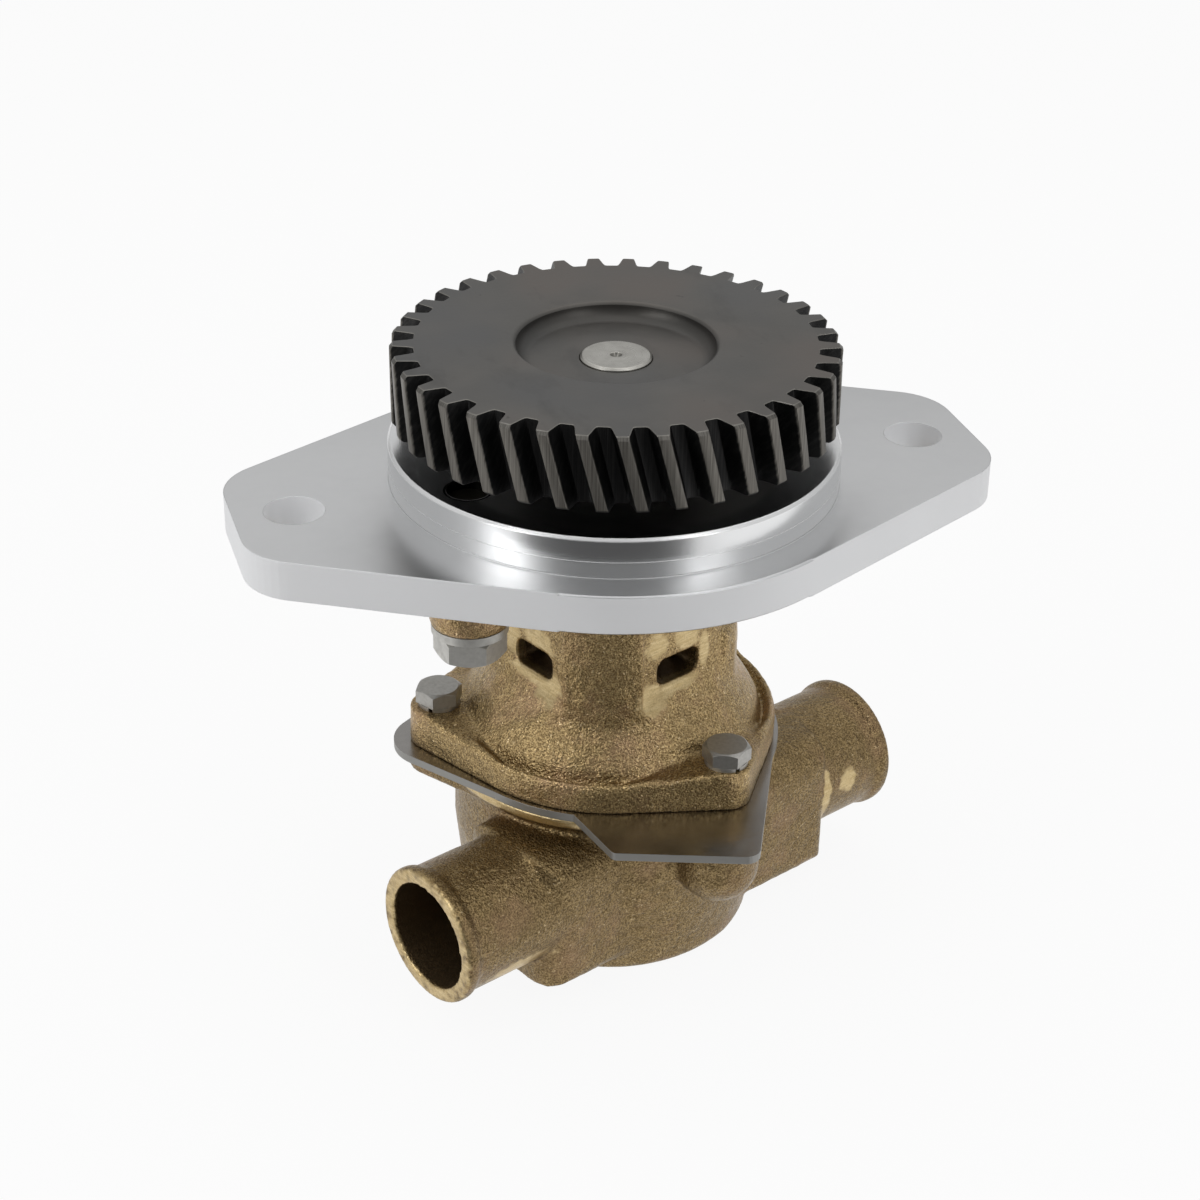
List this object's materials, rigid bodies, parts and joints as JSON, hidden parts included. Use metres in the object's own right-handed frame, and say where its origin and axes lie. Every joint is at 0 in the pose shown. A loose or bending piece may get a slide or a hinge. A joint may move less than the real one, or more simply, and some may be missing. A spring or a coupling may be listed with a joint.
{
  "type": "raw water pump",
  "caption": "Gear-driven marine raw water pump with a two-bolt piloted adapter plate, bronze bearing housing, stainless cover plate and bronze body with two beaded hose ports.",
  "frame": {"origin": "centre of the pilot on the engine-side face of the adapter plate", "axes": "+Z along the shaft, from the pump body up to the drive gear; +X through the two flange bolt holes; the hose ports are on the -Y side"},
  "size_m": [0.1732, 0.1203, 0.1463],
  "materials": {
    "gear_steel": "dark phosphate, satin, worn at the tooth edges",
    "shaft_steel": "turned",
    "bearing_steel": "ground and polished",
    "clip_steel": "dark spring steel",
    "machined_alloy": "machined, semi-gloss",
    "cast_bronze": "sand cast, grainy",
    "zinc_steel": "zinc plated",
    "stainless_plate": "rolled stainless, semi-gloss",
    "stainless_bolt": "stainless, satin",
    "black_rubber": "matt",
    "ceramic": "lapped ceramic",
    "carbon": "lapped carbon",
    "turned_brass": "turned",
    "copper": "soft copper"
  },
  "bodies": {
    "pump_case": {"bearing_clip": "clip_steel", "upper_race_outer": "bearing_steel", "race_spacer_outer": "shaft_steel", "lower_race_outer": "bearing_steel", "adapter_plate": "machined_alloy", "bearing_housing": "cast_bronze", "adapter_bolts": "zinc_steel", "adapter_washers": "zinc_steel", "oil_seal": "black_rubber", "oil_seal_spring": "shaft_steel", "seal_cup": "black_rubber", "seal_seat": "ceramic", "housing_o_ring": "black_rubber", "cover_plate": "stainless_plate", "body_o_ring": "black_rubber", "pump_body": "cast_bronze", "body_bolts": "stainless_bolt", "lock_washers": "stainless_bolt", "cam": "turned_brass", "cam_screw": "turned_brass", "cam_washer": "copper"},
    "rotor": {"pump_shaft": "shaft_steel", "drive_gear": "gear_steel", "gear_sleeve": "shaft_steel", "upper_race_inner": "bearing_steel", "race_spacer_inner": "shaft_steel", "lower_race_inner": "bearing_steel", "slinger_ring": "black_rubber", "seal_face": "carbon", "seal_spring": "shaft_steel", "seal_boot": "black_rubber", "seal_collar": "turned_brass", "impeller": "black_rubber", "impeller_insert": "turned_brass", "impeller_key": "shaft_steel"},
    "upper_ball_ring": {"upper_balls": "bearing_steel"},
    "lower_ball_ring": {"lower_balls": "bearing_steel"}
  },
  "joints": [
    {"name": "shaft_spin", "type": "hinge", "parent": "pump_case", "child": "rotor", "pos_m": [0, 0, 0], "axis": [0, 0, 1], "continuous": true, "deforming": ["impeller"]},
    {"name": "upper_ball_orbit", "type": "hinge", "parent": "pump_case", "child": "upper_ball_ring", "pos_m": [0, 0, 0.001], "axis": [0, 0, 1], "continuous": true},
    {"name": "lower_ball_orbit", "type": "hinge", "parent": "pump_case", "child": "lower_ball_ring", "pos_m": [0, 0, -0.023], "axis": [0, 0, 1], "continuous": true}
  ],
  "couplings": [
    {"joint": "upper_ball_orbit", "follows": "shaft_spin", "ratio": 0.3842},
    {"joint": "lower_ball_orbit", "follows": "shaft_spin", "ratio": 0.3842}
  ]
}
